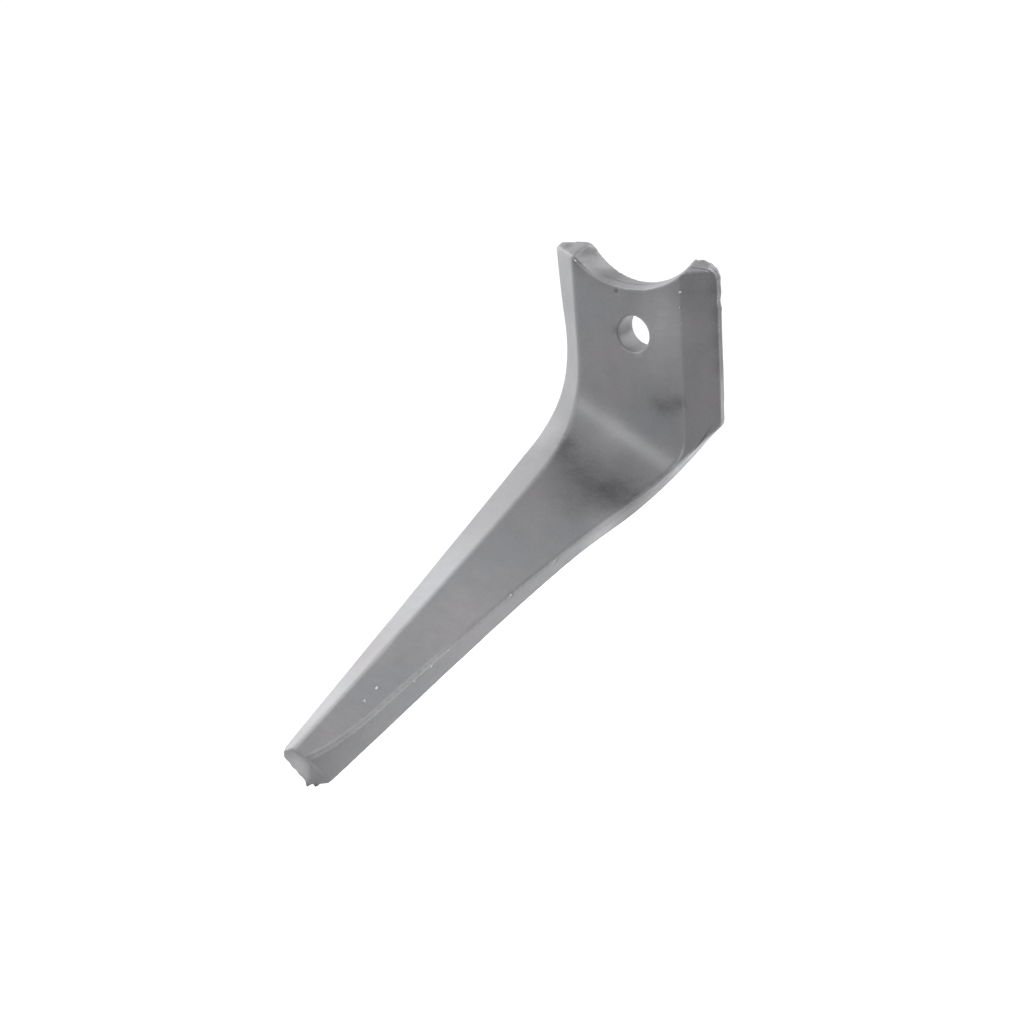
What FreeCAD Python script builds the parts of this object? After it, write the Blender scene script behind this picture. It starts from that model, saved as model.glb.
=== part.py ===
"""Power harrow tine: a drop-forged steel knife with a flat head, a strong bend and a tapered blade.

The head stands upright in the XZ plane, with the middle of the locking bore at the origin. Its concave,
inner face looks forward, towards -Y, and its outer face backward. The half-moon at its top end sits on the
round hub of the tine carrier, the locking pin passes through the bore along Y, and the blade comes forward
and down from the bend. Lengths are in millimetres.

Two directions order the shape. The bend axis lies in the head plate, turned by bend_skew from horizontal.
A drop is the developed distance below the bore, measured square to the bend axis: straight down the head,
round the inner face of the bend, and straight again down the blade. A side is the distance from the bore
along the bend axis, and a depth is measured from the inner face into the plate. The sketches take the inner
face of the head as y = 0, and the body's placement then brings the middle of the plate there.
"""

import FreeCAD, Part
import math
import os
import Sketcher

os.makedirs("parts", exist_ok=True)

SIZES = {
    "plate_thickness": 16.0,
    "tip_thickness": 18.4,
    "bend_skew": 27.0,
    "bend_angle": 70.0,
    "bend_drop": 36.0,
    "bend_radius": 42.0,
    "blade_length": 228.1,
    "tip_skew_angle": 8.0,
    "tip_rake_angle": 11.3,
    "left_tip_side": 13.8,
    "left_tip_slope": 67.0,
    "right_tip_side": 27.7,
    "right_tip_lean": 9.8,
    "right_tip_slope": 35.0,
    "bore_radius": 10.0,
    "bore_chamfer": 0.4,
    "saddle_offset": 1.8,
    "saddle_floor": 25.0,
    "saddle_inner_radius": 53.0,
    "saddle_outer_radius": 38.0,
    "horn_peak_side": -9.2,
    "horn_peak_height": 41.6,
    "horn_bevel_angle": 17.0,
    "left_horn_angle": 2.9,
    "right_horn_angle": 10.0,
    "left_horn_corner": 52.2,
    "left_corner_angle": 40.0,
    "right_horn_round": 8.0,
    "head_right": 46.4,
    "head_taper_angle": 1.1,
    "facet_ridge": 29.6,
    "facet_land": 4.5,
    "facet_reach": 6.6,
    "flank_side": -27.6,
    "flank_drop": 57.5,
    "flank_round": 12.6,
    "flank_head_angle": 29.55,
    "flank_blade_angle": 8.66,
    "bevel_depth": 11.3,
    "tip_bevel_depth": 9.4,
    "relief_depth": 9.0,
    "relief_turn": 29.0,
    "relief_slope": 7.5,
    "ridge_side": -2.8,
    "ridge_drop": 69.9,
    "ridge_round": 34.0,
    "ridge_head_angle": 27.4,
    "ridge_blade_angle": 5.1,
    "wall_side": 35.0,
    "wall_drop": 77.6,
    "wall_round": 58.8,
    "wall_head_angle": 23.0,
    "wall_blade_angle": 0.6,
    "shoulder_round": 6.0,
    "draft_delay": 37.7,
    "draft_angle": 2.0,
    "tip_lean_length": 29.4,
    "tip_lean_angle": 11.0,
    "edge_break": 1.2,
}

# How far cuts run past what they cut, how far they reach aside, and how finely the lofts follow the plate.
MARGIN = 5.0
FAR = 160.0
BLANK_WIDTH = 220.0
BLANK_TOP = 90.0
PAST_TIP = 20.0
HEAD_STEPS = 5
BEND_STEPS = 8
BLADE_STEPS = 9

# An edge runs from front to back if more than this share of its direction does.
MOSTLY = 0.75

doc = FreeCAD.newDocument("harrow_tine")
sheet = doc.addObject("Spreadsheet::Sheet", "sizes")
for row, (alias, value) in enumerate(SIZES.items(), start=1):
    sheet.set(f"A{row}", alias)
    sheet.set(f"B{row}", str(value))
    sheet.setAlias(f"B{row}", alias)
doc.recompute()

body = doc.addObject("PartDesign::Body", "harrow_tine")
body.Label = "harrow_tine"


def named(expression):
    """Writes the sheet's name before each size that stands between angle marks."""
    words = expression
    for alias in SIZES:
        words = words.replace(f"<{alias}>", f"sizes.{alias}")
    return words


def number(expression):
    """Works an expression out, for the first drawing of a sketch."""
    return float(sheet.evalExpression(named(expression)))


def spot(place):
    """Turns a pair of expressions into a sketch point."""
    return FreeCAD.Vector(number(place[0]), number(place[1]), 0)


def sketch_on(role, name, offset=None):
    """Adds a sketch on one of the body's origin planes, moved by a placement expression."""
    plane = next(item for item in body.Origin.OriginFeatures if item.Role == role)
    sketch = body.newObject("Sketcher::SketchObject", name)
    sketch.AttachmentSupport = [(plane, "")]
    sketch.MapMode = "FlatFace"
    sketch.Visibility = False
    if offset:
        sketch.setExpression("AttachmentOffset", named(offset))
    return sketch


def moved(across, up, out, axis="0; 0; 1", angle="0"):
    """Gives the expression of a shift, then a turn about an axis of the sketch plane."""
    shift = f"create(<<vector>>; {across}; {up}; {out})"
    turn = f"create(<<rotation>>; create(<<vector>>; {axis}); {angle})"
    return f"create(<<placement>>; {shift}; {turn})"


def turned(axis, angle):
    """Gives the expression of a turn about an axis of the sketch plane."""
    return moved("0", "0", "0", axis, angle)


def bind(sketch, kind, size, *where):
    """Adds a dimension and ties it to an expression."""
    index = sketch.addConstraint(Sketcher.Constraint(kind, *where, number(size)))
    sketch.setExpression(f"Constraints[{index}]", named(size))


def pin_point(sketch, edge, end, place):
    """Fixes one end of an edge by its two coordinates."""
    bind(sketch, "DistanceX", place[0], -1, 1, edge, end)
    bind(sketch, "DistanceY", place[1], -1, 1, edge, end)


def polygon(sketch, corners):
    """Draws a closed outline of straight edges through corners given as pairs of expressions."""
    points = [spot(corner) for corner in corners]
    for start, end in zip(points, points[1:] + points[:1]):
        sketch.addGeometry(Part.LineSegment(start, end))
    for edge in range(len(points)):
        sketch.addConstraint(Sketcher.Constraint("Coincident", edge, 2, (edge + 1) % len(points), 1))
    for edge, corner in enumerate(corners):
        pin_point(sketch, edge, 1, corner)


def circle(sketch, centre, radius):
    """Draws a circle by its centre and radius."""
    edge = sketch.addGeometry(Part.Circle(spot(centre), FreeCAD.Vector(0, 0, 1), number(radius)))
    pin_point(sketch, edge, 3, centre)
    bind(sketch, "Radius", radius, edge)


def volume_after(feature, before, name):
    """Recomputes and makes sure that a cut has taken something away."""
    doc.recompute()
    after = body.Shape.Volume
    if not feature.isValid() or body.Shape.isNull() or after >= before:
        raise RuntimeError(f"{name} cut nothing: {before:.0f} to {after:.0f}, state {feature.State}")


def pocket(name, sketch, length, side="One side"):
    """Pockets a sketch, one way or evenly both ways."""
    before = body.Shape.Volume
    cut = body.newObject("PartDesign::Pocket", name)
    cut.Profile = sketch
    cut.SideType = side
    cut.Length = length
    volume_after(cut, before, name)


def loft_cut(name, sections, ruled):
    """Takes a loft through the sections away."""
    before = body.Shape.Volume
    cut = body.newObject("PartDesign::SubtractiveLoft", name)
    cut.Profile = sections[0]
    cut.Sections = sections[1:]
    cut.Ruled = ruled
    volume_after(cut, before, name)


# The bent plate: its side view along the bend axis, with the blade's outer side growing thicker to the tip.
SKEW = turned("0; 1; 0", "<bend_skew>")
BEND_LENGTH = "(<bend_radius> * <bend_angle> * pi / 180)"
OUTER_RADIUS = "(<bend_radius> + <plate_thickness>)"
BEND_END = f"(<bend_drop> + {BEND_LENGTH})"
HEAD_RISE = f"(<head_right> * sin(<bend_skew>) + <horn_peak_height> * cos(<bend_skew>) + {MARGIN})"
BLADE_RUN = f"(<blade_length> + {PAST_TIP})"
RUN_THICKNESS = f"(<plate_thickness> + (<tip_thickness> - <plate_thickness>) * {BLADE_RUN} / <blade_length>)"


def inner_place(turn, run="0"):
    """Gives the forward and upward place on the inner face, round the bend by a turn and then down a run."""
    forward = f"-(<bend_radius> * (1 - cos({turn})) + {run} * sin({turn}))"
    upward = f"-(<bend_drop> + <bend_radius> * sin({turn}) + {run} * cos({turn}))"
    return forward, upward


inner_top = ("0", f"{BLANK_TOP}")
inner_start = ("0", "-<bend_drop>")
inner_end = inner_place("<bend_angle>")
inner_tip = inner_place("<bend_angle>", BLADE_RUN)
outer_tip = (f"{inner_tip[0]} + {RUN_THICKNESS} * cos(<bend_angle>)",
             f"{inner_tip[1]} - {RUN_THICKNESS} * sin(<bend_angle>)")
outer_end = (f"{inner_end[0]} + <plate_thickness> * cos(<bend_angle>)",
             f"{inner_end[1]} - <plate_thickness> * sin(<bend_angle>)")
outer_start = ("<plate_thickness>", "-<bend_drop>")
outer_top = ("<plate_thickness>", f"{BLANK_TOP}")

profile = sketch_on("YZ_Plane", "side_view", turned("1; 0; 0", "<bend_skew>"))
bend_centre = spot(("-<bend_radius>", "-<bend_drop>"))
bend_turn = math.radians(number("<bend_angle>"))
inner_circle = Part.Circle(bend_centre, FreeCAD.Vector(0, 0, 1), number("<bend_radius>"))
outer_circle = Part.Circle(bend_centre, FreeCAD.Vector(0, 0, 1), number(OUTER_RADIUS))
for edge in (
    Part.LineSegment(spot(inner_top), spot(inner_start)),
    Part.ArcOfCircle(inner_circle, -bend_turn, 0),
    Part.LineSegment(spot(inner_end), spot(inner_tip)),
    Part.LineSegment(spot(inner_tip), spot(outer_tip)),
    Part.LineSegment(spot(outer_tip), spot(outer_end)),
    Part.ArcOfCircle(outer_circle, -bend_turn, 0),
    Part.LineSegment(spot(outer_start), spot(outer_top)),
    Part.LineSegment(spot(outer_top), spot(inner_top)),
):
    profile.addGeometry(edge)
for join in (
    (0, 2, 1, 2),
    (1, 1, 2, 1),
    (2, 2, 3, 1),
    (3, 2, 4, 1),
    (4, 2, 5, 1),
    (5, 2, 6, 1),
    (6, 2, 7, 1),
    (7, 2, 0, 1),
):
    profile.addConstraint(Sketcher.Constraint("Coincident", *join))
for edge, end, place in (
    (0, 1, inner_top),
    (0, 2, inner_start),
    (2, 1, inner_end),
    (2, 2, inner_tip),
    (4, 1, outer_tip),
    (4, 2, outer_end),
    (6, 1, outer_start),
    (6, 2, outer_top),
):
    pin_point(profile, edge, end, place)
bind(profile, "Radius", "<bend_radius>", 1)
bind(profile, "Radius", OUTER_RADIUS, 5)
doc.recompute()
blank = body.newObject("PartDesign::Pad", "bent_plate")
blank.Profile = profile
blank.SideType = "Symmetric"
blank.Length = BLANK_WIDTH
doc.recompute()


# The long edges: hyperbolas blend each one from its slope on the head into its slope on the blade.
def smooth_corner(drop, side, corner, rounding, upper, lower):
    """Gives a line's side at a drop, where two straight stretches blend round one corner."""
    run = f"({drop} - {corner})"
    mean = f"({upper} + {lower}) / 2 * {run}"
    return f"({side} + {mean} + ({lower} - {upper}) / 2 * sqrt({run} ^ 2 + {rounding} ^ 2))"


def blade_share(drop):
    """Gives how far down the blade a drop lies, from 0 at the bend to 1 at the tip."""
    return f"max(0; ({drop} - {BEND_END}) / <blade_length>)"


def grown(drop, start, end):
    """Gives a size that goes evenly from its value at the bend to its value at the tip."""
    return f"({start} + ({end} - {start}) * {blade_share(drop)})"


def flank_at(drop):
    """Gives the left flank's side at a drop."""
    return smooth_corner(drop, "<flank_side>", "<flank_drop>", "<flank_round>",
                         "tan(<flank_head_angle>)", "tan(<flank_blade_angle>)")


def left_section(drop):
    """Outlines what is cut beside the left flank and the bevel that leads to it, with their edges broken."""
    flank = flank_at(drop)
    ridge = smooth_corner(drop, "<ridge_side>", "<ridge_drop>", "<ridge_round>",
                          "tan(<ridge_head_angle>)", "tan(<ridge_blade_angle>)")
    depth = grown(drop, "<bevel_depth>", "<tip_bevel_depth>")
    thickness = grown(drop, "<plate_thickness>", "<tip_thickness>")
    bevel_share = f"<edge_break> / sqrt(({ridge} - {flank}) ^ 2 + {depth} ^ 2)"
    across = f"({ridge} - {flank}) * {bevel_share}"
    inward = f"{depth} * {bevel_share}"
    return [
        (f"{flank} + <edge_break> + {MARGIN}", f"{thickness} + {MARGIN}"),
        (flank, f"{thickness} - <edge_break>"),
        (flank, f"{depth} + <edge_break>"),
        (f"{flank} + {across}", f"{depth} - {inward}"),
        (f"{ridge} - {across}", inward),
        (f"{ridge} + <edge_break> + (<edge_break> + {across}) / ({inward}) * {MARGIN}", f"-{MARGIN}"),
        (f"-{FAR}", f"-{MARGIN}"),
        (f"-{FAR}", f"{thickness} + {MARGIN}"),
    ]


def right_section(drop):
    """Outlines what is cut beside the right wall: square at the bend, drafted below, leaning at the tip."""
    wall = smooth_corner(drop, "<wall_side>", "<wall_drop>", "<wall_round>",
                         "-tan(<wall_head_angle>)", "tan(<wall_blade_angle>)")
    lean = (f"(tan(<draft_angle>) * max(0; {drop} - {BEND_END} - <draft_delay>)"
            f" + tan(<tip_lean_angle>) * max(0; {drop} - {BEND_END} - <blade_length> + <tip_lean_length>))")
    thickness = grown(drop, "<plate_thickness>", "<tip_thickness>")
    break_lean = f"{lean} * <edge_break> / {thickness}"
    return [
        (f"{wall} - {break_lean} - <edge_break> - {MARGIN}", f"{thickness} + {MARGIN}"),
        (f"{wall} - {break_lean}", f"{thickness} - <edge_break>"),
        (f"{wall} - {lean} + {break_lean}", "<edge_break>"),
        (f"{wall} - {lean} - <edge_break> - (1 + {break_lean} / <edge_break>) * {MARGIN}", f"-{MARGIN}"),
        (f"{FAR}", f"-{MARGIN}"),
        (f"{FAR}", f"{thickness} + {MARGIN}"),
    ]


def stations():
    """Lists the drop and the sketch placement of each section, from above the horns to past the tip."""
    places = []
    for step in range(HEAD_STEPS):
        drop = f"(<bend_drop> - ({HEAD_RISE} + <bend_drop>) * {HEAD_STEPS - step} / {HEAD_STEPS})"
        places.append((drop, moved("0", "0", f"-{drop}")))
    for step in range(BEND_STEPS + 1):
        turn = f"(<bend_angle> * {step} / {BEND_STEPS})"
        drop = f"(<bend_drop> + {BEND_LENGTH} * {step} / {BEND_STEPS})"
        places.append((drop, moved("0", *inner_place(turn), "1; 0; 0", f"-{turn}")))
    for step in range(1, BLADE_STEPS + 1):
        run = f"({BLADE_RUN} * {step} / {BLADE_STEPS})"
        drop = f"({BEND_END} + {run})"
        places.append((drop, moved("0", *inner_place("<bend_angle>", run), "1; 0; 0", "-<bend_angle>")))
    return [(drop, f"{SKEW} * {place}") for drop, place in places]


def side_cut(name, outline):
    """Cuts one long side, lofted smoothly through one section at each station."""
    sections = []
    for index, (drop, offset) in enumerate(stations()):
        section = sketch_on("XY_Plane", f"{name}_section_{index}", offset)
        polygon(section, outline(drop))
        sections.append(section)
    loft_cut(name, sections, ruled=False)


side_cut("left_flank", left_section)
side_cut("right_wall", right_section)

# The head's outline: two horns, whose tops rise towards the outer face, and the straight right edge.
peak = ("<horn_peak_side>", "<horn_peak_height>")
left_horn_height = "(<horn_peak_height> - (<left_horn_corner> + <horn_peak_side>) * tan(<left_horn_angle>))"
left_horn_far = f"{left_horn_height} - ({FAR} - <left_horn_corner>) * tan(<left_corner_angle>)"
right_fall = "tan(<right_horn_angle>)"
right_taper = "tan(<head_taper_angle>)"
corner_height = (f"((<horn_peak_height> - {right_fall} * (<head_right> - <horn_peak_side>))"
                 f" / (1 + {right_fall} * {right_taper}))")
right_corner = (f"<head_right> + {right_taper} * {corner_height}", corner_height)
head_outline = sketch_on("XZ_Plane", "head_outline", turned("1; 0; 0", "<horn_bevel_angle>"))
polygon(head_outline, [(across, f"({height}) * cos(<horn_bevel_angle>)") for across, height in (
    (f"-{FAR}", left_horn_far),
    ("-<left_horn_corner>", left_horn_height),
    peak,
    right_corner,
    (f"<head_right> - {right_taper} * {FAR}", f"-{FAR}"),
    (f"{FAR}", f"-{FAR}"),
    (f"{FAR}", f"{FAR}"),
    (f"-{FAR}", f"{FAR}"),
)])
pocket("head_cut", head_outline, 2 * FAR, "Symmetric")

# The facet down the right of the inner face is flat, and runs out where it meets the wall beside the bend.
FACET_SLOPE = "((<head_right> - <facet_ridge>) / (<plate_thickness> - <facet_land>))"
facet_far = f"<head_right> + {FACET_SLOPE} * {MARGIN}"
facet = sketch_on("XY_Plane", "facet_outline", turned("0; 1; 0", "<head_taper_angle>"))
polygon(facet, [
    (f"<facet_ridge> - {FACET_SLOPE} * <facet_reach>", "-<facet_reach>"),
    (facet_far, "-<facet_reach>"),
    (facet_far, f"<plate_thickness> - <facet_land> + {MARGIN}"),
])
pocket("right_facet", facet, 2 * FAR, "Symmetric")


# The half-moon is a skewed cone: its radius shrinks towards the outer face, and its floor stays level.
def saddle_circle(name, depth):
    """Draws the half-moon's circle at a depth."""
    share = f"({depth}) / <plate_thickness>"
    radius = f"(<saddle_inner_radius> + (<saddle_outer_radius> - <saddle_inner_radius>) * {share})"
    sketch = sketch_on("XZ_Plane", name, moved("0", "0", f"-({depth})"))
    circle(sketch, ("<saddle_offset>", f"<saddle_floor> + {radius}"), radius)
    return sketch


loft_cut("half_moon", [saddle_circle("half_moon_inner", f"-{MARGIN}"),
                       saddle_circle("half_moon_outer", f"<plate_thickness> + {MARGIN}")], ruled=True)


def half_plane_cut(name, place):
    """Takes away all that lies below a plane."""
    sketch = sketch_on("XY_Plane", f"{name}_outline", place)
    near, far = f"-{FAR}", f"{FAR}"
    polygon(sketch, [(near, near), (far, near), (far, far), (near, far)])
    pocket(name, sketch, FAR / 2)


# The back is relieved behind the left flank, on the last stretch of the blade.
tip_middle = inner_place("<bend_angle>", "<blade_length>")
blade_end = f"{SKEW} * " + moved("0", *tip_middle, "1; 0; 0", "-<bend_angle>")
half_plane_cut("back_relief", " * ".join([
    blade_end,
    moved(flank_at(f"({BEND_END} + <blade_length>)"), "<relief_depth>", "0", "1; 0; 0", "90"),
    turned("0; 1; 0", "<relief_turn>"),
    turned("1; 0; 0", "-<relief_slope>"),
]))

# The tip is cut a little skew across the blade and raked through its thickness, with two sloping corners.
tip_place = " * ".join([
    blade_end,
    turned("0; 1; 0", "-<tip_skew_angle>"),
    turned("1; 0; 0", "-<tip_rake_angle>"),
])
half_plane_cut("tip_end", tip_place)
half_plane_cut("left_tip_corner", " * ".join([
    tip_place,
    moved("<left_tip_side> / cos(<tip_skew_angle>)", "0", "0", "0; 1; 0", "<left_tip_slope>"),
]))
half_plane_cut("right_tip_corner", " * ".join([
    tip_place,
    moved("<right_tip_side> / cos(<tip_skew_angle>)", "0", "0", "0; 0; 1", "-<right_tip_lean>"),
    turned("0; 1; 0", "-<right_tip_slope>"),
]))

bore = sketch_on("XZ_Plane", "bore_circle")
circle(bore, ("0", "0"), "<bore_radius>")
pocket("pin_bore", bore, 2 * FAR, "Symmetric")


def edge_behind(towards):
    """Picks the edge that runs from front to back and lies farthest in a direction."""
    best = None
    for index, edge in enumerate(body.Tip.Shape.Edges, start=1):
        middle = (edge.FirstParameter + edge.LastParameter) / 2
        reach = edge.CenterOfMass.dot(towards)
        if abs(edge.tangentAt(middle).y) > MOSTLY and (best is None or reach > best[0]):
            best = (reach, f"Edge{index}")
    return best[1]


def bore_rims():
    """Picks the bore's two circular rims."""
    rims = []
    for index, edge in enumerate(body.Tip.Shape.Edges, start=1):
        middle = edge.CenterOfMass
        if edge.Curve.TypeId == "Part::GeomCircle" and math.hypot(middle.x, middle.z) < MARGIN:
            rims.append(f"Edge{index}")
    return rims


def break_edges(name, kind, edges, dimension, size):
    """Rounds or chamfers edges of the body."""
    base = body.Tip
    before = body.Shape.Volume
    feature = body.newObject(f"PartDesign::{kind}", name)
    feature.Base = (base, edges)
    feature.setExpression(dimension, named(size))
    volume_after(feature, before, name)


# The right horn has a round corner, and so has the shoulder, where the wall leaves the head. The bore's rims
# are broken.
horn_edge = edge_behind(FreeCAD.Vector(1, 0, 1))
break_edges("right_horn_corner", "Fillet", [horn_edge], "Radius", "<right_horn_round>")
shoulder_edge = edge_behind(FreeCAD.Vector(2, 0, -1))
break_edges("shoulder_corner", "Fillet", [shoulder_edge], "Radius", "<shoulder_round>")
break_edges("bore_edges", "Chamfer", bore_rims(), "Size", "<bore_chamfer>")

body.setExpression("Placement", named(moved("0", "-<plate_thickness> / 2", "0")))
doc.recompute()

for item in doc.Objects:
    if {"Invalid", "Error"} & set(item.State):
        raise RuntimeError(f"{item.Name} failed: {item.State}")
if body.Shape.isNull() or not body.Shape.isValid():
    raise RuntimeError("the tine is not a valid solid")
body.Shape.exportStep("parts/harrow_tine.step")
print("solids", len(body.Shape.Solids), "volume cm3", round(body.Shape.Volume / 1000, 2))
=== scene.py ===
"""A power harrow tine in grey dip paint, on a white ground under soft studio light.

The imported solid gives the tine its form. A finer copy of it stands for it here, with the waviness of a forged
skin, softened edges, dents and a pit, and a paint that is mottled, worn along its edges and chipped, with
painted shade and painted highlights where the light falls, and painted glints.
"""

import logging
import math
from collections.abc import Mapping, Sequence
from dataclasses import dataclass
from enum import Enum
from functools import reduce
from operator import add

import bmesh
import bpy
from mathutils import Matrix, Vector, noise
from mathutils.kdtree import KDTree


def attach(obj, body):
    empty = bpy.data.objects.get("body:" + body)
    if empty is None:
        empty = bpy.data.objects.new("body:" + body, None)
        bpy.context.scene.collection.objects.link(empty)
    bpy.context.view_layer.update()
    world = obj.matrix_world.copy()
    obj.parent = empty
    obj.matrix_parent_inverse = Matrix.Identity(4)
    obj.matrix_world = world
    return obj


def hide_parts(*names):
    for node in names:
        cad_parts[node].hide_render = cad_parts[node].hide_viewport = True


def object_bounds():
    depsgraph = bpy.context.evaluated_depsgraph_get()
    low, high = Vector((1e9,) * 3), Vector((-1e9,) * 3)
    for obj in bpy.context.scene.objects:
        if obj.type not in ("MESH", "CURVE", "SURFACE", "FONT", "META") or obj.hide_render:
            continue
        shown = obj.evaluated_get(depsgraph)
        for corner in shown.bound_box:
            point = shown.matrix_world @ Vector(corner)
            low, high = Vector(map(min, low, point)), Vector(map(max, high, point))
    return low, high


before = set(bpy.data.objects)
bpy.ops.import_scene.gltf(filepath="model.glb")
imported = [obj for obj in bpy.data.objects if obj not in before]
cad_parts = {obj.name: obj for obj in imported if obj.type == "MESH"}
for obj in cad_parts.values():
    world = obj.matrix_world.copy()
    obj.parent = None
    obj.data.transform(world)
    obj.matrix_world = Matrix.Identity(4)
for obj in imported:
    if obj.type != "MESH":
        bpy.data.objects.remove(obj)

CAD_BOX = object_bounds()
BODY = "root"
CAD_NODE = "harrow_tine"
PIECE = "forged_tine"
PAINT_SLOT = "grey_paint"
EDGE_LAYER = "edge"
MM = 0.001
CLOUD_MIDDLE = 0.5

Socket = bpy.types.NodeSocket
Triple = tuple[float, float, float]
Colour = Triple | Socket
Span = tuple[float, float]
WHITE: Triple = (1.0, 1.0, 1.0)
BLACK: Triple = (0.0, 0.0, 0.0)
report = logging.getLogger("harrow_tine")


class Maths(Enum):
    """The sums that a shader expression adds as Math nodes."""

    ADD = "ADD"
    SUBTRACT = "SUBTRACT"
    MULTIPLY = "MULTIPLY"
    DIVIDE = "DIVIDE"
    MINIMUM = "MINIMUM"
    MAXIMUM = "MAXIMUM"


class Measure(Enum):
    """What a Vector Math node can work out of two vectors."""

    DISTANCE = "DISTANCE"
    DOT_PRODUCT = "DOT_PRODUCT"


class Feel(Enum):
    """Which way a mark moves the skin: in or out."""

    DENT = -1.0
    LUMP = 1.0


def metres(place: Triple) -> Vector:
    """A place given in millimetres, in metres."""
    return Vector(place) * MM


def opaque(colour: Triple) -> tuple[float, float, float, float]:
    """A colour with an alpha of 1, as a colour socket takes it."""
    return (*colour, 1.0)


def direction(azimuth: float, elevation: float) -> Vector:
    """Gives the way out from the tine at two angles.

    Args:
        azimuth: degrees round from the front (-Y) towards the right (+X).
        elevation: degrees up from level.

    Returns:
        A unit vector.
    """
    turn, lift = math.radians(azimuth), math.radians(elevation)
    return Vector((math.sin(turn) * math.cos(lift), -math.cos(turn) * math.cos(lift), math.sin(lift)))


def placed(name: str, data: bpy.types.ID) -> bpy.types.Object:
    """Puts a new object in the scene.

    Args:
        name: its name.
        data: the mesh, lamp or lens that it carries.

    Returns:
        The object.
    """
    made = bpy.data.objects.new(name, data)
    bpy.context.scene.collection.objects.link(made)
    return made


class Value:
    """A number in a shader, with the operators that the finishes use."""

    def __init__(self, sheet: "ShaderSheet", socket: Socket) -> None:
        """Wraps an output socket of a node on the sheet."""
        self.sheet = sheet
        self.socket = socket

    def __add__(self, other: "Value | float") -> "Value":
        """This value and another, added."""
        return self.sheet.sum_of(Maths.ADD, self, other)

    __radd__ = __add__

    def __sub__(self, other: "Value | float") -> "Value":
        """Another value taken from this one."""
        return self.sheet.sum_of(Maths.SUBTRACT, self, other)

    def __rsub__(self, other: "Value | float") -> "Value":
        """This value taken from another."""
        return self.sheet.sum_of(Maths.SUBTRACT, other, self)

    def __mul__(self, other: "Value | float") -> "Value":
        """This value times another."""
        return self.sheet.sum_of(Maths.MULTIPLY, self, other)

    __rmul__ = __mul__

    def __truediv__(self, other: "Value | float") -> "Value":
        """This value divided by another."""
        return self.sheet.sum_of(Maths.DIVIDE, self, other)

    def __rtruediv__(self, other: "Value | float") -> "Value":
        """Another value divided by this one."""
        return self.sheet.sum_of(Maths.DIVIDE, other, self)

    def __abs__(self) -> "Value":
        """This value without its sign."""
        return self.at_least(0.0 - self)

    def at_most(self, other: "Value | float") -> "Value":
        """The lower of this value and another."""
        return self.sheet.sum_of(Maths.MINIMUM, self, other)

    def at_least(self, other: "Value | float") -> "Value":
        """The higher of this value and another."""
        return self.sheet.sum_of(Maths.MAXIMUM, self, other)

    def between(self, low: float, high: float) -> "Value":
        """Where this value lies from low, as 0, to high, as 1, held at both ends."""
        return ((self - low) / (high - low)).at_least(0.0).at_most(1.0)

    def fading(self, reach: float) -> "Value":
        """1 where this value is 0, falling evenly to 0 at the reach and beyond."""
        return 1.0 - (self / reach).at_most(1.0)

    def eased(self) -> "Value":
        """This value, which runs from 0 to 1, with a level start and end."""
        return self * self * (3.0 - self * 2.0)


@dataclass(frozen=True)
class Cloud:
    """A noise over the part, which swings about CLOUD_MIDDLE.

    Attributes:
        wave: the size of its largest patches, in metres.
        detail: how many finer layers it has.
        rough: how strong each finer layer is.
        stretch: how many times shorter its patches are along each axis.
    """

    wave: float
    detail: float = 2.0
    rough: float = 0.5
    stretch: Triple = (1.0, 1.0, 1.0)


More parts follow.
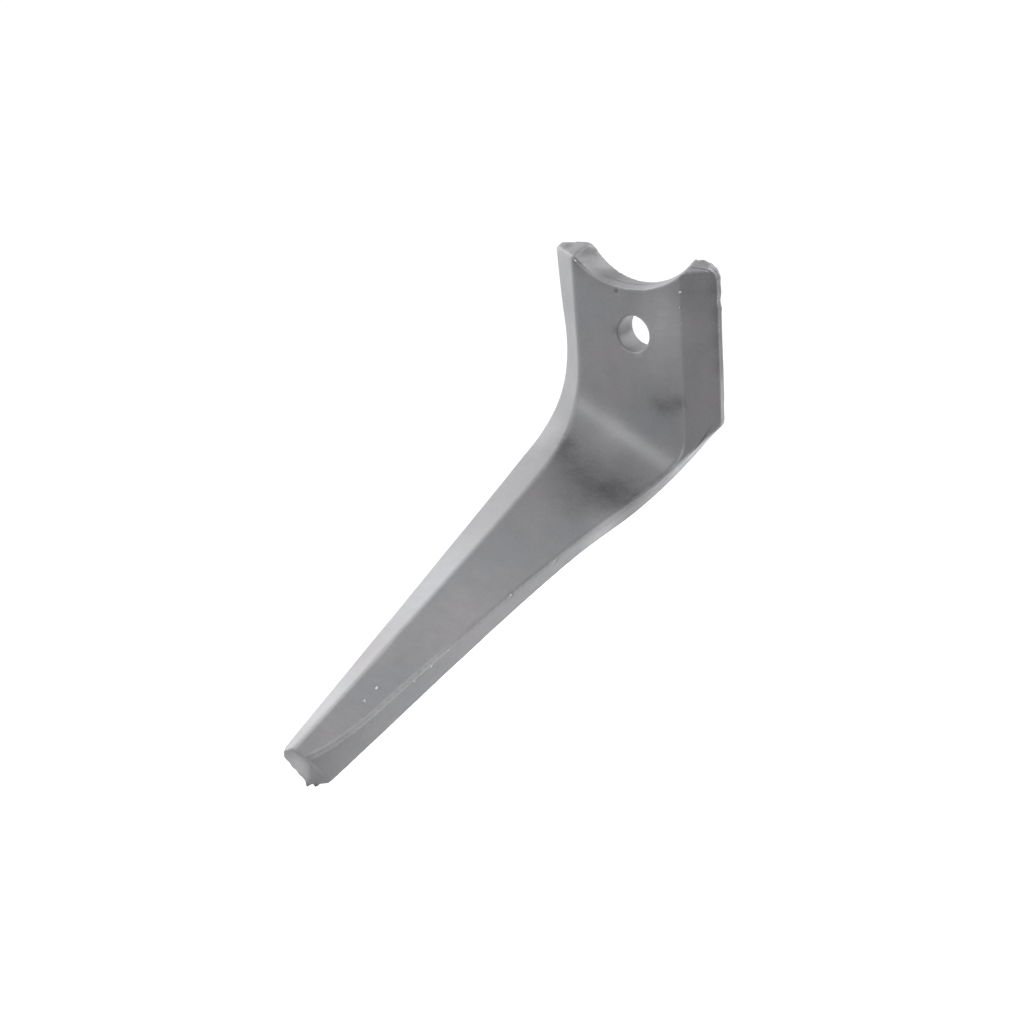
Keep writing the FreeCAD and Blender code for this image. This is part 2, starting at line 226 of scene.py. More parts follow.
class ShaderSheet:
    """The nodes of one material or world. A Mix node's sockets go by number, because their names repeat."""

    MIX_FACTOR = 0
    MIX_FIRST = 6
    MIX_SECOND = 7
    MIX_RESULT = 2

    def __init__(self, owner: bpy.types.Material | bpy.types.World) -> None:
        """Clears the owner's nodes.

        Args:
            owner: the material or world.
        """
        owner.use_nodes = True
        self.tree = owner.node_tree
        self.tree.nodes.clear()

    def node(
        self,
        kind: str,
        settings: Mapping[str, object] | None = None,
        sockets: Mapping[str | int, object] | None = None,
    ) -> bpy.types.Node:
        """Adds one node.

        Args:
            kind: the node's type, such as ShaderNodeTexNoise.
            settings: what is set before the sockets.
            sockets: plain values, Values or output sockets, by the input's name or number.

        Returns:
            The node.
        """
        made = self.tree.nodes.new(kind)
        for name, setting in (settings or {}).items():
            setattr(made, name, setting)
        for name, given in (sockets or {}).items():
            source = given.socket if isinstance(given, Value) else given
            if isinstance(source, Socket):
                self.tree.links.new(source, made.inputs[name])
            else:
                made.inputs[name].default_value = source
        return made

    def sum_of(self, operation: Maths, first: Value | float, second: Value | float) -> Value:
        """Adds a Math node on two values and gives its result."""
        made = self.node("ShaderNodeMath", {"operation": operation.value}, {0: first, 1: second})
        return Value(self, made.outputs[0])

    def mixed(self, factor: Value | float, first: Colour, second: Colour) -> Socket:
        """Mixes two colours.

        Args:
            factor: 0 for the first colour, 1 for the second.
            first: a colour, or a socket that gives one.
            second: the same.

        Returns:
            The mixed colour's socket.
        """
        sockets = {self.MIX_FACTOR: factor}
        for place, colour in ((self.MIX_FIRST, first), (self.MIX_SECOND, second)):
            sockets[place] = opaque(colour) if isinstance(colour, tuple) else colour
        return self.node("ShaderNodeMix", {"data_type": "RGBA"}, sockets).outputs[self.MIX_RESULT]

    def scaled(self, colour: Socket, factor: Value) -> Socket:
        """A colour made darker or lighter by a factor."""
        made = self.node("ShaderNodeVectorMath", {"operation": "SCALE"}, {0: colour, "Scale": factor})
        return made.outputs[0]

    def place(self) -> Socket:
        """The point being shaded, in the part's own frame, in metres."""
        return self.node("ShaderNodeTexCoord").outputs["Object"]

    def layer(self, name: str) -> Value:
        """The numbers that a mesh keeps for its points, by the name of their layer."""
        return Value(self, self.node("ShaderNodeAttribute", {"attribute_name": name}).outputs["Fac"])

    def cloud(self, kind: Cloud) -> Value:
        """Lays a noise over the part.

        Args:
            kind: the noise.

        Returns:
            Its strength, from 0 to 1.
        """
        spread = self.node("ShaderNodeMapping", sockets={"Vector": self.place(), "Scale": kind.stretch})
        grain = {"Scale": 1.0 / kind.wave, "Detail": kind.detail, "Roughness": kind.rough}
        sockets = {"Vector": spread.outputs[0], **grain}
        return Value(self, self.node("ShaderNodeTexNoise", {"noise_dimensions": "3D"}, sockets).outputs[0])

    def measured(self, measure: Measure, other: Vector) -> Value:
        """Sets the point being shaded against a vector.

        Args:
            measure: what is worked out of the two.
            other: the vector.

        Returns:
            The number that comes out, in metres.
        """
        sockets = {0: self.place(), 1: tuple(other)}
        made = self.node("ShaderNodeVectorMath", {"operation": measure.value}, sockets)
        return Value(self, made.outputs["Value"])

    def height_over(self, centre: Vector, across: Vector) -> Value:
        """How far a point of the part lies over a plane, which has this centre and this unit normal."""
        return self.measured(Measure.DOT_PRODUCT, across) - centre.dot(across)

    def nearness(self, centre: Vector, radius: float) -> Value:
        """1 at a point of the part and 0 from the radius outwards."""
        return self.measured(Measure.DISTANCE, centre).fading(radius)


@dataclass(frozen=True)
class Viewpoint:
    """The camera, at the photograph's angle and distance, in a square frame.

    Attributes:
        place: where it stands, in metres.
        azimuth: degrees round from the front towards the right.
        elevation: degrees up from level.
        roll: degrees that it leans over.
        focal_pixels: its focal length, in pixels of the photograph.
        frame_pixels: the width of the photograph, in pixels.
        sensor: the width of its sensor, in millimetres.
    """

    place: Triple = (0.4593, -0.7093, 0.2311)
    azimuth: float = 38.274
    elevation: float = 21.334
    roll: float = -5.646
    focal_pixels: float = 1607.96
    frame_pixels: float = 1024.0
    sensor: float = 36.0

    def axes(self) -> tuple[Vector, Vector, Vector]:
        """Works out which way the camera is turned.

        Returns:
            Its right, up and backward directions.
        """
        back = direction(self.azimuth, self.elevation)
        turn, roll = math.radians(self.azimuth), math.radians(self.roll)
        side = Vector((math.cos(turn), math.sin(turn), 0.0))
        rise = back.cross(side)
        right = side * math.cos(roll) + rise * math.sin(roll)
        up = rise * math.cos(roll) - side * math.sin(roll)
        return right, up, back

    def build(self) -> None:
        """Makes the camera and gives it to the scene."""
        lens = bpy.data.cameras.new("viewpoint")
        lens.sensor_width = self.sensor
        lens.lens = self.focal_pixels * self.sensor / self.frame_pixels
        camera = placed("viewpoint", lens)
        camera.matrix_world = Matrix.Translation(self.place) @ Matrix(self.axes()).transposed().to_4x4()
        bpy.context.scene.camera = camera


@dataclass(frozen=True)
class Softbox:
    """One soft studio lamp that faces the tine.

    Attributes:
        name: its name.
        azimuth: degrees round from the front towards the right.
        elevation: degrees up from level.
        distance: how far it hangs from what it faces, in metres.
        width: its width, in metres.
        height: its height, in metres.
        brightness: its power in watts for each square metre, divided by pi.
    """

    name: str
    azimuth: float
    elevation: float
    distance: float
    width: float
    height: float
    brightness: float

    def build(self, target: Vector) -> None:
        """Hangs the lamp in its direction from the target.

        Args:
            target: the point that it faces.
        """
        outward = direction(self.azimuth, self.elevation)
        lamp = bpy.data.lights.new(self.name, "AREA")
        lamp.shape = "RECTANGLE"
        lamp.size = self.width
        lamp.size_y = self.height
        lamp.energy = self.brightness * math.pi * self.width * self.height
        box = placed(self.name, lamp)
        box.location = target + outward * self.distance
        box.rotation_mode = "QUATERNION"
        box.rotation_quaternion = outward.to_track_quat("Z", "Y")
        box.visible_camera = False


@dataclass(frozen=True)
class Studio:
    """The white ground, the even light all round and the softboxes.

    Attributes:
        floor_height: the floor's height, in metres.
        floor_reach: how far it runs to each side, in metres.
        floor_colour: its colour.
        floor_lift: how much of white it shows beyond the lamps' light.
        lit_reach: how far the lamps light it, in metres from its middle.
        surround: the strength of the even light.
        target: the point that the softboxes face, in metres.
    """

    floor_height: float = -0.6
    floor_reach: float = 30.0
    floor_colour: Triple = (0.9, 0.9, 0.9)
    floor_lift: float = 0.9
    lit_reach: float = 1.0
    surround: float = 0.15
    target: Triple = (-0.01, -0.09, -0.05)

    def softboxes(self) -> list[Softbox]:
        """The lamps, each with its azimuth, elevation, distance, width, height and brightness."""
        return [
            Softbox("left_box", -95.0, 12.0, 1.3, 0.9, 0.9, 2.1),
            Softbox("left_high_box", -100.0, 45.0, 1.4, 0.9, 0.9, 3.9),
            Softbox("left_low_box", -100.0, -20.0, 1.2, 0.8, 0.6, 0.5),
            Softbox("front_left_box", -50.0, 25.0, 1.5, 0.6, 0.6, 4.0),
            Softbox("front_box", -12.0, 24.0, 1.6, 0.6, 0.4, 8.5),
            Softbox("right_low_box", 125.0, -20.0, 1.2, 0.7, 0.6, 4.1),
            Softbox("back_right_box", 145.0, 22.0, 1.3, 0.9, 0.9, 3.0),
            Softbox("back_high_box", 152.0, 55.0, 1.4, 0.7, 0.6, 5.8),
            Softbox("tip_box", -30.0, 60.0, 0.9, 0.6, 0.6, 1.6),
            Softbox("ridge_box", 101.0, 4.0, 1.25, 0.3, 0.3, 4.0),
        ]

    def build(self) -> None:
        """Makes the floor, the world and the lamps."""
        self._floor()
        self._world()
        for box in self.softboxes():
            box.build(Vector(self.target))

    def _floor(self) -> None:
        """Lays a wide pale floor, which takes the tine's shadow."""
        reach = self.floor_reach
        outline = ((-reach, -reach), (reach, -reach), (reach, reach), (-reach, reach))
        sheet = bpy.data.meshes.new("floor")
        sheet.from_pydata([(*corner, self.floor_height) for corner in outline], [], [(0, 1, 2, 3)])
        sheet.materials.append(self._floor_paint())
        floor = placed("floor", sheet)

    def _floor_paint(self) -> bpy.types.Material:
        """Makes the floor's pale paint, lifted to white for the eye where the lamps' light falls off.

        Returns:
            The material.
        """
        paint = bpy.data.materials.new("floor")
        shader = ShaderSheet(paint)
        unlit = 1.0 - shader.nearness(Vector((0.0, 0.0, self.floor_height)), self.lit_reach)
        surface = shader.node(
            "ShaderNodeBsdfPrincipled",
            sockets={
                "Base Color": opaque(self.floor_colour),
                "Roughness": 1.0,
                "Specular IOR Level": 0.0,
                "Emission Color": shader.mixed(unlit * self.floor_lift, BLACK, WHITE),
                "Emission Strength": self._seen(shader),
            },
        )
        shader.node("ShaderNodeOutputMaterial", sockets={"Surface": surface.outputs[0]})
        return paint

    def _world(self) -> None:
        """Gives even light all round, and plain white behind everything."""
        world = bpy.data.worlds.new("studio")
        bpy.context.scene.world = world
        shader = ShaderSheet(world)
        strength = self._seen(shader) * (1.0 - self.surround) + self.surround
        light = shader.node("ShaderNodeBackground", sockets={"Color": opaque(WHITE), "Strength": strength})
        shader.node("ShaderNodeOutputWorld", sockets={"Surface": light.outputs[0]})

    @staticmethod
    def _seen(shader: ShaderSheet) -> Value:
        """Tells what is seen from the light that falls on the tine.

        Args:
            shader: the nodes of the floor or the world.

        Returns:
            1 for what the camera or a reflection sees, and 0 for the light.
        """
        path = shader.node("ShaderNodeLightPath")
        rays = ("Is Camera Ray", "Is Glossy Ray", "Is Transmission Ray")
        return reduce(Value.at_least, [Value(shader, path.outputs[ray]) for ray in rays])


@dataclass(frozen=True)
class Spot:
    """A small mark on the skin, in millimetres.

    Attributes:
        place: its middle, in the part's frame.
        radius: its radius.
        depth: how deep or high it is.
        feel: whether it is a dent or a lump.
    """

    place: Triple
    radius: float
    depth: float = 0.0
    feel: Feel = Feel.DENT


@dataclass(frozen=True)
class TonePatch:
    """A soft patch where the paint is darker or lighter, in millimetres: painted shade and painted highlights,
    smudges, bruises and rubs.

    Attributes:
        place: its middle, in the part's frame.
        radius: its radius.
        shade: how much darker (below 0) or lighter (above 0) it is; for a rub, how much the edge takes of the
            worn and highlight grey.
    """

    place: Triple
    radius: float
    shade: float


@dataclass(frozen=True)
class Seam:
    """A fine seam where the forging dies met: a short stretch of a plane's cut with the skin, in millimetres.

    Attributes:
        place: its middle, in the part's frame.
        across: the direction square to the plane.
        reach: how far it runs to each side of its middle.
        width: how far its rims lie from its line.
    """

    place: Triple
    across: Triple
    reach: float
    width: float = 0.5


@dataclass(frozen=True)
class DipPaint:
    """Semi-gloss grey dip paint over a forged skin. A band is where a noise takes effect, from none to full.

    Attributes:
        cool_grey: the paint's first grey.
        warm_grey: the grey that it passes into in large patches.
        worn_and_highlight_grey: the paint where it is rubbed thin, and the painted highlight along the edges.
        dirt_grey: what lies in the seams.
        chip_and_glint_grey: the bare metal, and the painted glints.
        gloss: the roughness of the smoothest paint.
        dull: the roughness of the dullest patches.
        patches: the large patches.
        grey_band: where they pass from the cool to the warm grey.
        dull_band: where they pass from gloss to dull.
        speckles: the fine speckles.
        speckle_band: where they show.
        speckle_share: how much of the worn and highlight grey they take.
        speckle_dulling: how much rougher they are.
        tone: how light the paint is before its blotches and streaks.
        blotches: the small blotches.
        blotch_gain: how much lighter they are.
        streaks: the streaks up the head.
        streak_gain: how much lighter they are.
        feather: what breaks up the patches of painted shade, painted highlight and smudge.
        feather_floor: how much of a patch it always leaves.
        feather_gain: how much more it brings out.
        fray: what breaks up the wear and the painted edge highlights.
        fray_floor: how much of the edge it always leaves.
        fray_gain: how much more it brings out.
        wear_and_highlight_band: where the wear and the painted edge highlights show.
        wear_and_highlight_share: how much of the worn and highlight grey they take.
        rub: how much every edge is rubbed.
        crumble: what breaks up the rims of the chips and glints.
        crumble_gain: how strongly it does.
        chip_and_glint_band: where a chip is bare, and where a glint is painted.
        chip_and_glint_rim: the outer share of a chip or glint that fades out.
        bruise_reach: how many times wider than the chip or glint that it rings a bruise is.
        bruise_shade: how much darker it is.
        seam_fade: the share of a seam's reach over which each end fades.
        seam_share: how much of the dirt's grey it takes.
        seam_depth: its depth, in metres.
        peel: the paint's fine unevenness.
        peel_depth: its depth, in metres.
    """

    cool_grey: Triple = (0.189, 0.198, 0.210)
    warm_grey: Triple = (0.213, 0.201, 0.211)
    worn_and_highlight_grey: Triple = (0.42, 0.425, 0.43)
    dirt_grey: Triple = (0.07, 0.07, 0.073)
    chip_and_glint_grey: Triple = (0.66, 0.67, 0.67)
    gloss: float = 0.3
    dull: float = 0.4
    patches: Cloud = Cloud(0.045)
    grey_band: Span = (0.3, 0.7)
    dull_band: Span = (0.35, 0.75)
    speckles: Cloud = Cloud(0.0012, detail=1.0)
    speckle_band: Span = (0.35, 0.8)
    speckle_share: float = 0.1
    speckle_dulling: float = 0.04
    tone: float = 0.86
    blotches: Cloud = Cloud(0.011, detail=3.0, rough=0.55)
    blotch_gain: float = 0.19
    streaks: Cloud = Cloud(0.007, stretch=(1.0, 1.0, 0.12))
    streak_gain: float = 0.09
    feather: Cloud = Cloud(0.006, detail=4.0, rough=0.6, stretch=(0.6, 1.0, 1.4))
    feather_floor: float = 0.3
    feather_gain: float = 1.4
    fray: Cloud = Cloud(0.004, detail=3.0, rough=0.6)
    fray_floor: float = 0.6
    fray_gain: float = 0.8
    wear_and_highlight_band: Span = (0.45, 0.8)
    wear_and_highlight_share: float = 0.7
    rub: float = 0.15
    crumble: Cloud = Cloud(0.0009)
    crumble_gain: float = 2.4
    chip_and_glint_band: Span = (0.45, 0.75)
    chip_and_glint_rim: float = 0.2
    bruise_reach: float = 1.8
    bruise_shade: float = -0.22
    seam_fade: float = 0.3
    seam_share: float = 0.85
    seam_depth: float = 0.00018
    peel: Cloud = Cloud(0.0024)
    peel_depth: float = 0.00003

    def material(
        self, chips_and_glints: Sequence[Spot], shades_highlights_and_smudges: Sequence[TonePatch], rubs_and_highlights: Sequence[TonePatch], seams: Sequence[Seam]
    ) -> bpy.types.Material:
        """Makes the paint.

        Args:
            chips_and_glints: where it is chipped to bare metal, and where glints are painted, with a dull
                bruise round each.
            shades_highlights_and_smudges: where it is darker or lighter: painted shade, painted highlights and
                smudges.
            rubs_and_highlights: where its edges are rubbed, and where a highlight is painted along them.
            seams: where a seam of the forging shows through.

        Returns:
            The material.
        """
        paint = bpy.data.materials.new(PAINT_SLOT)
        shader = ShaderSheet(paint)
        patches = shader.cloud(self.patches)
        speckles = shader.cloud(self.speckles)
        groove = self._grooved(shader, seams)
        bruises = [TonePatch(bright_spot.place, bright_spot.radius * self.bruise_reach, self.bruise_shade) for bright_spot in chips_and_glints]
        colour = shader.mixed(patches.between(*self.grey_band), self.cool_grey, self.warm_grey)
        # Painted shade and painted highlights, smudges, and bruises round the chips and glints
        colour = shader.scaled(colour, self._toned(shader, [*shades_highlights_and_smudges, *bruises]))
        specks = speckles.between(*self.speckle_band) * self.speckle_share
        colour = shader.mixed(specks, colour, self.worn_and_highlight_grey)
        # Worn edges, and painted highlights along the rims, the shoulder and the blade's right ridge
        colour = shader.mixed(self._worn_and_highlit(shader, rubs_and_highlights) * self.wear_and_highlight_share, colour, self.worn_and_highlight_grey)
        colour = shader.mixed(groove * self.seam_share, colour, self.dirt_grey)
        # Bare metal at the chips, and painted glints in the same grey
        colour = shader.mixed(self._chipped_and_glinting(shader, chips_and_glints), colour, self.chip_and_glint_grey)
        roughness = self.gloss + patches.between(*self.dull_band) * (self.dull - self.gloss)
        roughness = roughness + speckles * self.speckle_dulling
        height = shader.cloud(self.peel) * self.peel_depth - groove * self.seam_depth
        bump = shader.node("ShaderNodeBump", sockets={"Height": height, "Distance": 1.0, "Strength": 1.0})
        surface = shader.node(
            "ShaderNodeBsdfPrincipled",
            sockets={"Base Color": colour, "Roughness": roughness, "Normal": bump.outputs[0]},
        )
        shader.node("ShaderNodeOutputMaterial", sockets={"Surface": surface.outputs[0]})
        return paint

    def _toned(self, shader: ShaderSheet, shades_highlights_and_smudges: Sequence[TonePatch]) -> Value:
        """Works out how light the paint is, with its blotches, its streaks and the ragged patches of painted
        shade, painted highlight and smudge.

        Args:
            shader: the paint's nodes.
            shades_highlights_and_smudges: where it is darker or lighter: painted shade, painted highlights and
                smudges.

        Returns:
            The factor for its colour, about 1.
        """
        blotched = self.tone + shader.cloud(self.blotches) * self.blotch_gain
        streaked = blotched + shader.cloud(self.streaks) * self.streak_gain
        ragged = self.feather_floor + shader.cloud(self.feather) * self.feather_gain
        shades = [self._soft(shader, tone_patch) * ragged * tone_patch.shade for tone_patch in shades_highlights_and_smudges]
        return reduce(add, shades, streaked)

    def _worn_and_highlit(self, shader: ShaderSheet, rubs_and_highlights: Sequence[TonePatch]) -> Value:
        """Works out where the edges are lighter: a little wear everywhere, and more at the rubs and the painted
        highlights.

        Args:
            shader: the paint's nodes.
            rubs_and_highlights: where the edges are rubbed, and where a highlight is painted along them.

        Returns:
            How much the edges take of the worn and highlight grey, from 0 to 1.
        """
        ragged = shader.layer(EDGE_LAYER) * (self.fray_floor + shader.cloud(self.fray) * self.fray_gain)
        rubbed = reduce(add, [self._soft(shader, rub) * rub.shade for rub in rubs_and_highlights])
        return ragged.between(*self.wear_and_highlight_band) * (self.rub + rubbed).at_most(1.0)

    def _grooved(self, shader: ShaderSheet, seams: Sequence[Seam]) -> Value:
        """Draws the seams.

        Args:
            shader: the paint's nodes.
            seams: where they run.

        Returns:
            1 along the middle of each, fading to its rims and its two ends.
        """
        grooves = []
        for seam in seams:
            middle = metres(seam.place)
            away = shader.height_over(middle, Vector(seam.across).normalized())
            ends = shader.nearness(middle, seam.reach * MM).between(0.0, self.seam_fade)
            grooves.append(abs(away).fading(seam.width * MM) * ends)
        return reduce(Value.at_least, grooves)

    def _chipped_and_glinting(self, shader: ShaderSheet, chips_and_glints: Sequence[Spot]) -> Value:
        """Breaks the paint off at the chips, and paints the glints in the same bare grey.

        Args:
            shader: the paint's nodes.
            chips_and_glints: where the chips and the painted glints are.

        Returns:
            1 at bare metal and at painted glints, and 0 where the paint holds.
        """
        middles = [shader.nearness(metres(bright_spot.place), bright_spot.radius * MM) for bright_spot in chips_and_glints]
        near = reduce(Value.at_least, middles)
        ragged = near + (shader.cloud(self.crumble) - CLOUD_MIDDLE) * self.crumble_gain
        return ragged.between(*self.chip_and_glint_band) * near.between(0.0, self.chip_and_glint_rim)

    @staticmethod
    def _soft(shader: ShaderSheet, tone_patch: TonePatch) -> Value:
        """1 at a patch's middle, falling smoothly to 0 at its rim."""
        return shader.nearness(metres(tone_patch.place), tone_patch.radius * MM).eased()


@dataclass(frozen=True)
class Forging:
    """The tine as a finer mesh than its solid, with the skin of a forging. Sizes are in millimetres.

    Attributes:
        weld: how near the solid's points lie where two are one.
        grain: how far the finer mesh's points lie apart.
        edge_turn: the angle, in degrees, from which an edge of the solid is sharp.
        edge_step: how far the points lie apart that stand for a sharp edge.
        edge_reach: how far from a sharp edge the paint may be worn.
        soft_reach: how far from one the skin is smoothed once more.
        skin_passes: how often the whole skin is smoothed.
        edge_passes: how often it is smoothed again near the sharp edges.
        soft_share: how far a pass takes a point towards the middle of its neighbours.
        bore_reach: how near the bore's middle line nothing is smoothed, so that the bore stays round.
        swell: the height of the skin's slow waves.
        swell_wave: how long they are.
        pocks: the height of its fine pocks.
        pock_wave: how wide they are.
        pock_shift: where in the noise they are taken from.
        mark_reach: how many radii from its middle a mark is felt.
        mark_fall: how steeply it falls off.
    """

    weld: float = 0.002
    grain: float = 0.95
    edge_turn: float = 24.0
    edge_step: float = 0.4
    edge_reach: float = 2.0
    soft_reach: float = 1.1
    skin_passes: int = 2
    edge_passes: int = 1
    soft_share: float = 0.5
    bore_reach: float = 13.0
    swell: float = 0.10
    swell_wave: float = 26.0
    pocks: float = 0.012
    pock_wave: float = 3.6
    pock_shift: Triple = (7.0, 3.0, 1.0)
    mark_reach: float = 2.0
    mark_fall: float = 2.0

    def marks(self) -> list[Spot]:
        """Dents, pits and lumps, from the head down to the tip."""
        return [
            # The pit under the half-moon, and the notch in the head's right side
            Spot((-8.8, -8.0, 23.0), 1.2, 0.8),
            Spot((46.8, 6.0, 18.0), 4.0, 1.0),
            Spot((46.8, 6.0, 27.0), 4.0, 0.5),
            # The left horn's worn corner, and the right horn's raised top
            Spot((-32.4, 7.2, 44.4), 3.0, 1.0),
            Spot((36.0, 8.0, 38.2), 3.0, 0.9, Feel.LUMP),
            Spot((39.2, 7.6, 37.0), 3.5, 0.6, Feel.LUMP),
            # Dents down the blade
            Spot((-7.8, -85.1, -103.8), 1.6, 0.6),
            Spot((-14.6, -116.3, -111.2), 1.3, 0.35),
            Spot((-26.0, -170.9, -129.5), 1.3, 0.35),
            # Burrs at the tip
            Spot((-50.2, -243.4, -165.6), 1.7, 2.0, Feel.LUMP),
            Spot((-46.6, -241.4, -166.4), 1.6, 2.0, Feel.LUMP),
        ]

    def chips_and_glints(self) -> list[Spot]:
        """Where the paint is chipped, and where glints are painted, from the head down to the tip."""
        return [
            # A painted glint on the left horn, and chips along the ridge at the head's right
            Spot((-34.1, -7.9, 38.4), 1.5),
            Spot((30.6, -7.6, 24.9), 1.1),
            Spot((30.2, -7.7, 17.1), 1.2),
            Spot((30.4, -7.5, 8.5), 0.9),
            # Chips down the blade, and two painted glints at its right ridge near the tip
            Spot((-7.8, -85.1, -103.8), 1.9),
            Spot((-14.6, -116.3, -111.2), 1.2),
            Spot((-12.3, -104.7, -107.0), 0.9),
            Spot((-23.6, -160.1, -125.0), 1.0),
            Spot((-26.0, -170.9, -129.5), 1.2),
            Spot((-28.4, -182.9, -133.4), 1.0),
            Spot((-38.8, -198.8, -131.6), 1.5),
            Spot((-39.9, -207.8, -134.7), 1.4),
        ]

    def shades_highlights_and_smudges(self) -> list[TonePatch]:
        """Where the paint is darker or lighter, from the head down to the tip: painted shade and painted
        highlights where the light falls, with smudges, a pit and burrs.
        """
        return [
            # The left horn, with a dark streak and a lighter top, and painted shade inside the half-moon's left
            # side
            TonePatch((-45.6, 3.0, 43.0), 5.0, -0.5),
            TonePatch((-42.0, 4.0, 47.0), 7.0, 0.3),
            TonePatch((-31.0, -3.0, 37.0), 12.0, -0.5),
            TonePatch((-20.0, -1.0, 30.0), 13.0, -0.25),
            # The head's face: painted shade on the facet under the right horn, a lighter band right of the
            # middle, and the pit
            TonePatch((38.0, -4.0, 24.0), 22.0, -0.16),
            TonePatch((20.0, -8.0, 10.0), 24.0, 0.32),
            TonePatch((17.0, -8.0, -9.0), 22.0, 0.16),
            TonePatch((-8.8, -8.0, 23.0), 1.9, -0.9),
            # Painted shade and painted highlight: the bore's rim darker at its left and lighter at its foot,
            # the half-moon's wall darker, and the bore's wall darker at its left and lighter at its foot
            TonePatch((-10.6, -8.0, 1.0), 4.5, -0.3),
            TonePatch((2.5, -6.0, -10.4), 4.5, 0.5),
            TonePatch((1.4, 0.0, 25.5), 14.0, -0.2),
            TonePatch((-17.0, 0.0, 30.0), 14.0, -0.2),
            TonePatch((-9.5, 3.0, -1.0), 9.0, -0.34),
            TonePatch((1.0, 3.0, -10.0), 7.0, 0.12),
            # Painted shade down the head's right side
            TonePatch((50.0, 7.0, 26.0), 12.0, -0.6),
            TonePatch((50.0, 7.0, 12.0), 12.0, -0.7),
            TonePatch((50.0, 7.0, -2.0), 12.0, -0.7),
            TonePatch((50.0, 7.0, -16.0), 12.0, -0.6),
            # The dark patch low on the head
            TonePatch((27.0, -8.0, -35.3), 6.0, -0.36),
            TonePatch((22.0, -8.0, -38.0), 8.0, -0.28),
            TonePatch((16.5, -8.0, -40.0), 7.0, -0.22),
            TonePatch((11.5, -8.0, -37.2), 8.0, -0.18),
            TonePatch((20.0, -8.0, -37.0), 20.0, -0.15),
            # The bend: a painted highlight across it, and painted shade below it and at its foot
            TonePatch((-12.0, -13.0, -56.0), 17.0, 0.26),
            TonePatch((-39.0, -28.0, -60.0), 18.0, -0.42),
            TonePatch((-26.0, -33.0, -68.0), 20.0, -0.22),
            TonePatch((-6.0, -39.0, -83.0), 38.0, -0.4),
            TonePatch((4.0, -34.0, -87.0), 24.0, -0.24),
            # Painted highlight on the shoulder's strip and on the wall below it
            TonePatch((34.5, -4.0, -70.0), 10.0, 1.3),
            TonePatch((26.0, -7.0, -79.5), 10.0, 1.1),
            TonePatch((-1.0, -46.0, -102.0), 24.0, 0.9),
            # The blade lighter towards the tip and the tip's corner lighter, both painted light; a darker patch
            # near the tip, the head's left side a little darker, and the dark burrs
            TonePatch((-30.0, -150.0, -118.0), 80.0, 0.28),
            TonePatch((-47.0, -220.0, -145.0), 60.0, 0.24),
            TonePatch((-58.0, -238.0, -145.0), 18.0, -0.2),
            TonePatch((-52.0, -4.0, 10.0), 26.0, -0.1),
            TonePatch((-53.0, -248.0, -156.0), 12.0, 0.8),
            TonePatch((-50.2, -244.4, -166.6), 3.0, -0.9),
            TonePatch((-46.6, -242.4, -167.0), 3.0, -0.9),
        ]

    def rubs_and_highlights(self) -> list[TonePatch]:
        """Where the edges are lighter, from the half-moon's rim down to the tip: rubbed to lighter metal, with
        painted highlights along them.
        """
        return [
            # Wear and a painted highlight along the half-moon's rim and the bore's
            TonePatch((-24.0, -8.0, 32.0), 14.0, 0.5),
            TonePatch((-6.5, -8.0, 25.5), 16.0, 0.6),
            TonePatch((14.0, -8.0, 26.5), 14.0, 0.6),
            TonePatch((0.0, -8.0, 0.0), 16.0, 0.35),
            # A painted highlight and wear along the shoulder
            TonePatch((37.0, -3.0, -58.0), 9.0, 0.9),
            TonePatch((26.0, -7.0, -70.0), 16.0, 1.2),
            TonePatch((10.0, -20.0, -86.0), 18.0, 0.5),
            # A painted highlight along the ridge at the blade's right
            TonePatch((-27.0, -172.0, -131.0), 34.0, 0.9),
            TonePatch((-31.0, -197.0, -139.0), 28.0, 1.1),
            TonePatch((-35.0, -218.0, -143.0), 26.0, 1.3),
            TonePatch((-40.0, -236.0, -147.0), 18.0, 1.2),
        ]

    def seams(self) -> list[Seam]:
        """Where the seam of the dies shows, from the right horn down to the foot of the wall."""
        return [
            # The right horn and the head's right side
            Seam((37.6, 0.5, 35.9), (0.13, -0.94, -0.31), 9.5, 0.9),
            Seam((46.4, 4.8, 20.0), (0.0, 1.0, 0.0), 18.0, 0.6),
            Seam((46.4, 4.8, -8.0), (0.0, 1.0, 0.0), 20.0, 0.6),
            # The half-moon's wall, in three short stretches that stay clear of the bore
            Seam((-10.0, -1.5, 27.0), (-0.16, 1.0, 0.0), 14.0, 0.7),
            Seam((3.0, 0.6, 25.0), (-0.16, 1.0, 0.0), 14.0, 0.7),
            Seam((16.0, 2.7, 27.5), (-0.16, 1.0, 0.0), 14.0, 0.7),
            # The shoulder and the foot of the wall
            Seam((26.6, -7.2, -68.3), (-0.08, 0.94, -0.32), 26.0),
            Seam((6.0, -32.0, -90.5), (-0.41, 0.4, -0.82), 30.0),
        ]

    def build(self, paint: DipPaint) -> bpy.types.Object:
        """Makes the tine, which stands for its solid.

        Args:
            paint: its finish.

        Returns:
            The finished piece.
        """
        tine = placed(PIECE, self._refined(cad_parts[CAD_NODE]))
        tine.data.materials.append(paint.material(self.chips_and_glints(), self.shades_highlights_and_smudges(), self.rubs_and_highlights(), self.seams()))
        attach(tine, BODY)
        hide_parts(CAD_NODE)
        return tine

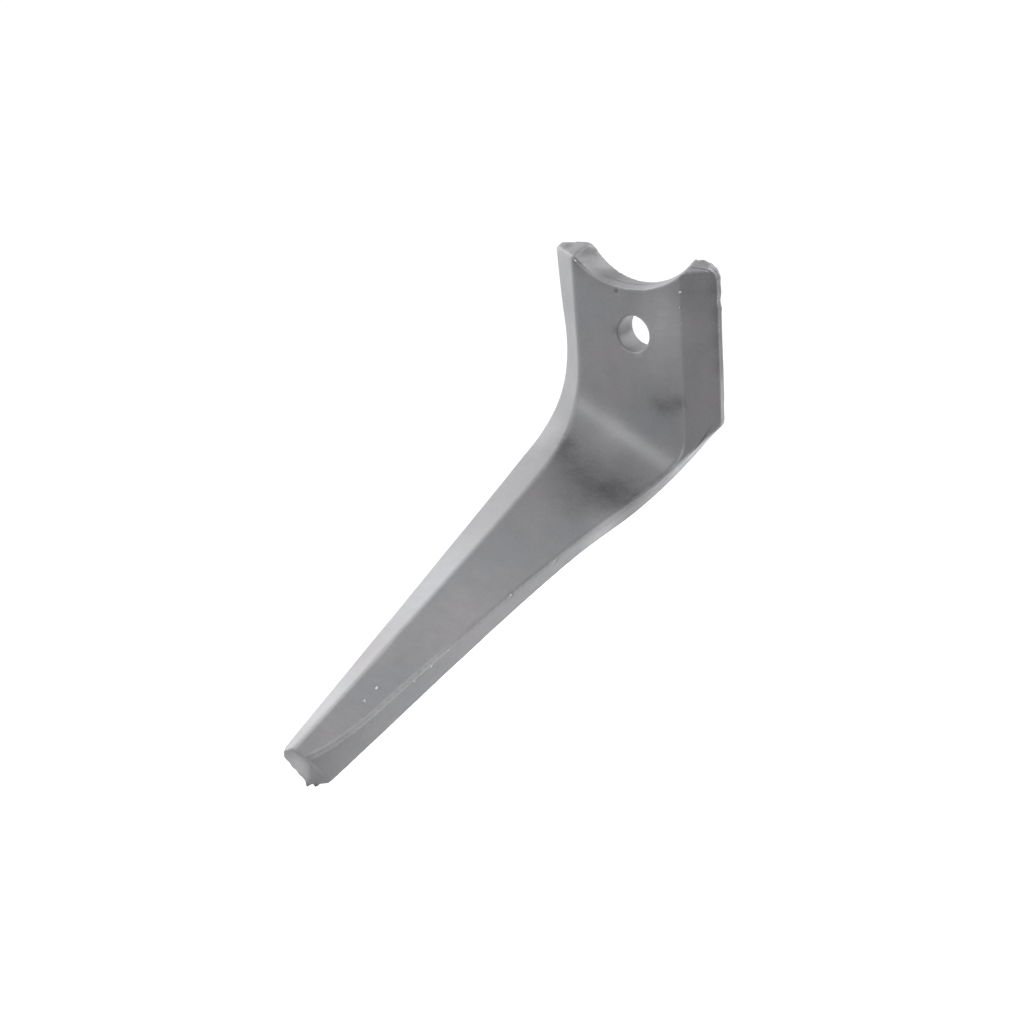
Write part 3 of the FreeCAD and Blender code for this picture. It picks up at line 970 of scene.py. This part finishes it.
    def _refined(self, solid: bpy.types.Object) -> bpy.types.Mesh:
        """Makes a fine, even mesh on the solid's surface and gives it its skin.

        Args:
            solid: the tine's solid, which is only read.

        Returns:
            The mesh.
        """
        closed = bmesh.new()
        closed.from_mesh(solid.data)
        bmesh.ops.remove_doubles(closed, verts=closed.verts, dist=self.weld * MM)
        edges = self._edge_points(closed)
        blank = placed("blank", bpy.data.meshes.new("blank"))
        closed.to_mesh(blank.data)
        closed.free()
        remesh = blank.modifiers.new("even", "REMESH")
        remesh.mode = "VOXEL"
        remesh.voxel_size = self.grain * MM
        wrap = blank.modifiers.new("seat", "SHRINKWRAP")
        wrap.wrap_method = "NEAREST_SURFACEPOINT"
        wrap.target = solid
        even = bpy.data.meshes.new_from_object(blank.evaluated_get(bpy.context.evaluated_depsgraph_get()))
        bpy.data.objects.remove(blank)
        work = bmesh.new()
        work.from_mesh(even)
        self._soften(work, edges)
        self._roughen(work)
        work.to_mesh(even)
        work.free()
        even.name = PIECE
        even.shade_smooth()
        return even

    def _edge_points(self, closed: bmesh.types.BMesh) -> KDTree:
        """Strews points along the solid's sharp edges.

        Args:
            closed: the solid's mesh, with its doubled points made one.

        Returns:
            The points, to be found by nearness.
        """
        turn = math.radians(self.edge_turn)
        points = []
        for edge in closed.edges:
            if edge.calc_face_angle(0.0) > turn:
                first, last = (vert.co for vert in edge.verts)
                count = 1 + int((last - first).length / (self.edge_step * MM))
                points.extend(first.lerp(last, step / count) for step in range(count))
        tree = KDTree(len(points))
        for number, point in enumerate(points):
            tree.insert(point, number)
        tree.balance()
        return tree

    def _soften(self, work: bmesh.types.BMesh, edges: KDTree) -> None:
        """Evens the skin, rounds the sharp edges a little and notes how near each point lies to one.

        The edge layer keeps 1 on a sharp edge, down to 0 at the edge's reach.

        Args:
            work: the mesh.
            edges: points along the sharp edges.
        """
        nearness = work.verts.layers.float.new(EDGE_LAYER)
        for vert in work.verts:
            _, _, away = edges.find(vert.co)
            vert[nearness] = max(0.0, 1.0 - away / MM / self.edge_reach)
        skin = [vert for vert in work.verts if math.hypot(vert.co.x, vert.co.z) > self.bore_reach * MM]
        ring = [vert for vert in skin if vert[nearness] > 1.0 - self.soft_reach / self.edge_reach]
        for verts in [skin] * self.skin_passes + [ring] * self.edge_passes:
            bmesh.ops.smooth_vert(
                work, verts=verts, factor=self.soft_share, use_axis_x=True, use_axis_y=True, use_axis_z=True
            )

    def _roughen(self, work: bmesh.types.BMesh) -> None:
        """Gives the skin its waviness, its pocks and its marks, and keeps it inside the solid's box.

        Args:
            work: the mesh.
        """
        work.normal_update()
        marks = [(metres(mark.place), mark) for mark in self.marks()]
        moves = []
        for vert in work.verts:
            point = vert.co / MM
            rise = self.swell * noise.noise(point / self.swell_wave)
            rise += self.pocks * noise.noise(point / self.pock_wave + Vector(self.pock_shift))
            for centre, mark in marks:
                away = (vert.co - centre).length / (mark.radius * MM)
                if away < self.mark_reach:
                    rise += mark.feel.value * mark.depth * math.exp(-self.mark_fall * away * away)
            moves.append(vert.co + vert.normal * rise * MM)
        low, high = CAD_BOX
        for vert, place in zip(work.verts, moves):
            vert.co = [min(max(value, least), most) for value, least, most in zip(place, low, high)]


def main() -> None:
    """Builds the view, the studio and the tine."""
    logging.basicConfig(level=logging.INFO, format="%(name)s: %(message)s")
    bpy.context.scene.view_settings.view_transform = "Standard"
    Viewpoint().build()
    report.info("camera placed")
    Studio().build()
    report.info("floor, surround and softboxes placed")
    tine = Forging().build(DipPaint())
    report.info("%s: %d faces", tine.name, len(tine.data.polygons))


if __name__ == "__main__":
    main()
